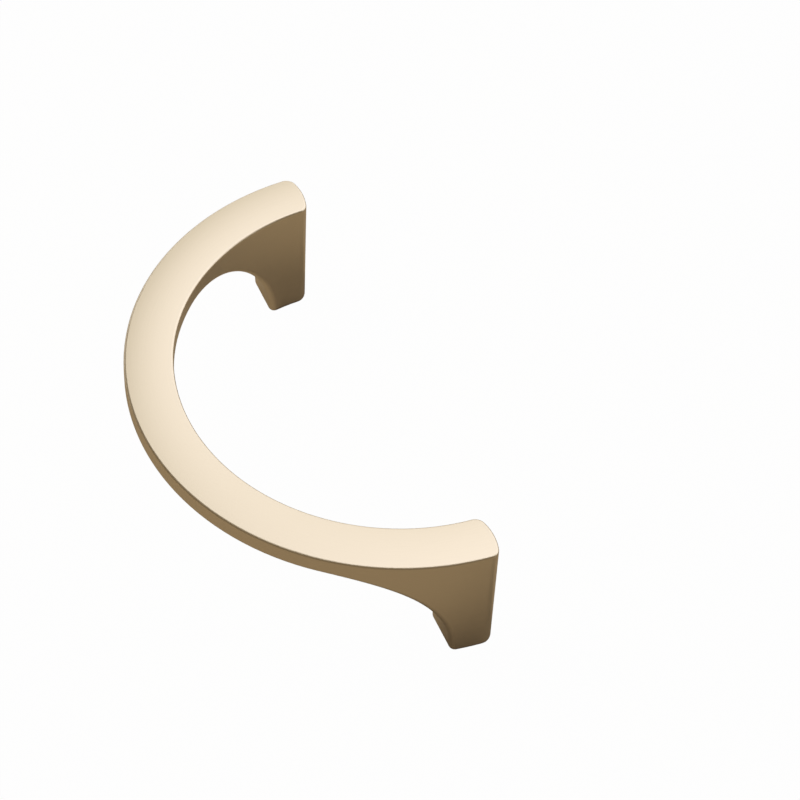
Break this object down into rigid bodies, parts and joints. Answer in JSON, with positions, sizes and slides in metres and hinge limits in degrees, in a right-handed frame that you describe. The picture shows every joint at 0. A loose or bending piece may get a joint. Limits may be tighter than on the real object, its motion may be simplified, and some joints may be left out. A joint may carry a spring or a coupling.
{
  "type": "half-round cabinet pull",
  "caption": "Half-round cabinet pull in satin brass: a semicircular bar with a slightly cambered top and domed ends that sweeps down into a foot at each end, screwed on from behind the door or drawer front.",
  "frame": {"origin": "midpoint between the screw-hole axes, on the mounting plane under the feet", "axes": "+X along the line through the screw holes, +Y towards the crown of the half ring, +Z away from the door"},
  "size_m": [0.1062, 0.053, 0.0285],
  "materials": {
    "brass": "satin, finely brushed, champagne tone"
  },
  "bodies": {
    "root": {"pull": "brass"}
  },
  "joints": []
}
